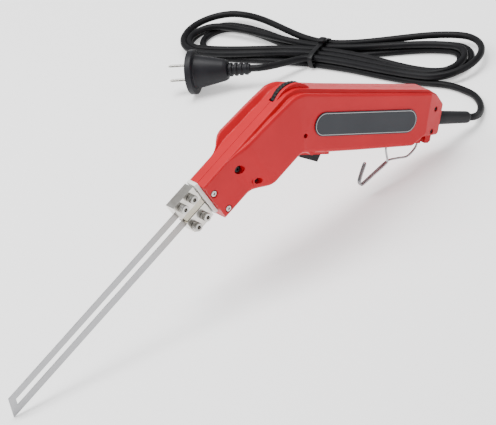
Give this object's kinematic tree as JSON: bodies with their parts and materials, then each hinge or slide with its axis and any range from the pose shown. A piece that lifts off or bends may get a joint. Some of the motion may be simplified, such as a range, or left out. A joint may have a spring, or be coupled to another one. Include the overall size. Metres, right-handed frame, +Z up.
{
  "type": "hot wire cutter",
  "caption": "Handheld hot-knife foam cutter: bent plastic grip, slotted steel blade in clamp blocks, heat dial, trigger, hanging hook and tied mains lead.",
  "frame": {"origin": "centre of the tool's footprint on the surface it stands on, the mains lead left out", "axes": "+X from the blade tip toward the mains lead, +Y away from the labelled side, +Z up"},
  "size_m": [0.5645, 0.3686, 0.1316],
  "materials": {
    "red_housing": "satin moulded",
    "label_film": "printed film, blank",
    "black_plastic": "fine moulded grain",
    "black_rubber": "satin",
    "nickel": "bright plated",
    "blade_steel": "ground lengthwise",
    "chrome_wire": "polished",
    "white_ceramic": "unglazed ceramic",
    "cream_insulator": "mica board",
    "lamination_steel": "varnished laminations",
    "copper": "varnished copper",
    "circuit_board": "green lacquer"
  },
  "bodies": {
    "root": {"housing_near": "red_housing", "housing_far": "red_housing", "label_plate": "label_film", "dial_potentiometer": "black_plastic", "trigger_switch": "black_plastic", "board_capacitor": "black_plastic", "cord_clamp": "black_plastic", "cord_tie": "black_plastic", "strain_relief_boot": "black_rubber", "cord_inner": "black_rubber", "cord_free": "black_rubber", "cord_hank": "black_rubber", "cord_to_plug": "black_rubber", "plug_body": "black_rubber", "terminal_block_upper": "nickel", "terminal_block_lower": "nickel", "clamp_screw_upper_rear": "nickel", "clamp_screw_upper_front": "nickel", "clamp_screw_lower_rear": "nickel", "clamp_screw_lower_front": "nickel", "plug_pin_upper": "nickel", "plug_pin_lower": "nickel", "case_screw_nose_upper": "nickel", "case_screw_nose_lower": "nickel", "case_screw_body_upper": "nickel", "case_screw_body_lower": "nickel", "case_screw_handle_front": "nickel", "case_screw_rear_upper": "nickel", "case_screw_rear_lower": "nickel", "hot_blade": "blade_steel", "trigger_pin": "blade_steel", "front_insulator_plate": "white_ceramic", "block_spacer": "cream_insulator", "transformer_core": "lamination_steel", "board_triac": "lamination_steel", "transformer_coil": "copper", "secondary_strap_upper": "copper", "secondary_strap_lower": "copper", "circuit_board": "circuit_board"},
    "dial": {"dial_wheel": "black_plastic", "dial_shaft": "blade_steel"},
    "trigger_lever": {"trigger": "black_plastic"},
    "hook": {"hanging_hook": "chrome_wire"}
  },
  "joints": [
    {"name": "dial_turn", "type": "hinge", "parent": "root", "child": "dial", "pos_m": [0.07106, 0, 0.11337], "axis": [0, 1, 0], "range_deg": [-135, 135]},
    {"name": "trigger_press", "type": "hinge", "parent": "root", "child": "trigger_lever", "pos_m": [0.06953, 0, 0.07556], "axis": [0, -1, 0], "range_deg": [0, 12], "stiffness_Nm_per_rad": 0.12, "springref_deg": -14.32},
    {"name": "hook_swing", "type": "hinge", "parent": "root", "child": "hook", "pos_m": [0.16656, 0, 0.02907], "axis": [0.8829, 0, -0.4695], "range_deg": [-50, 50]}
  ]
}
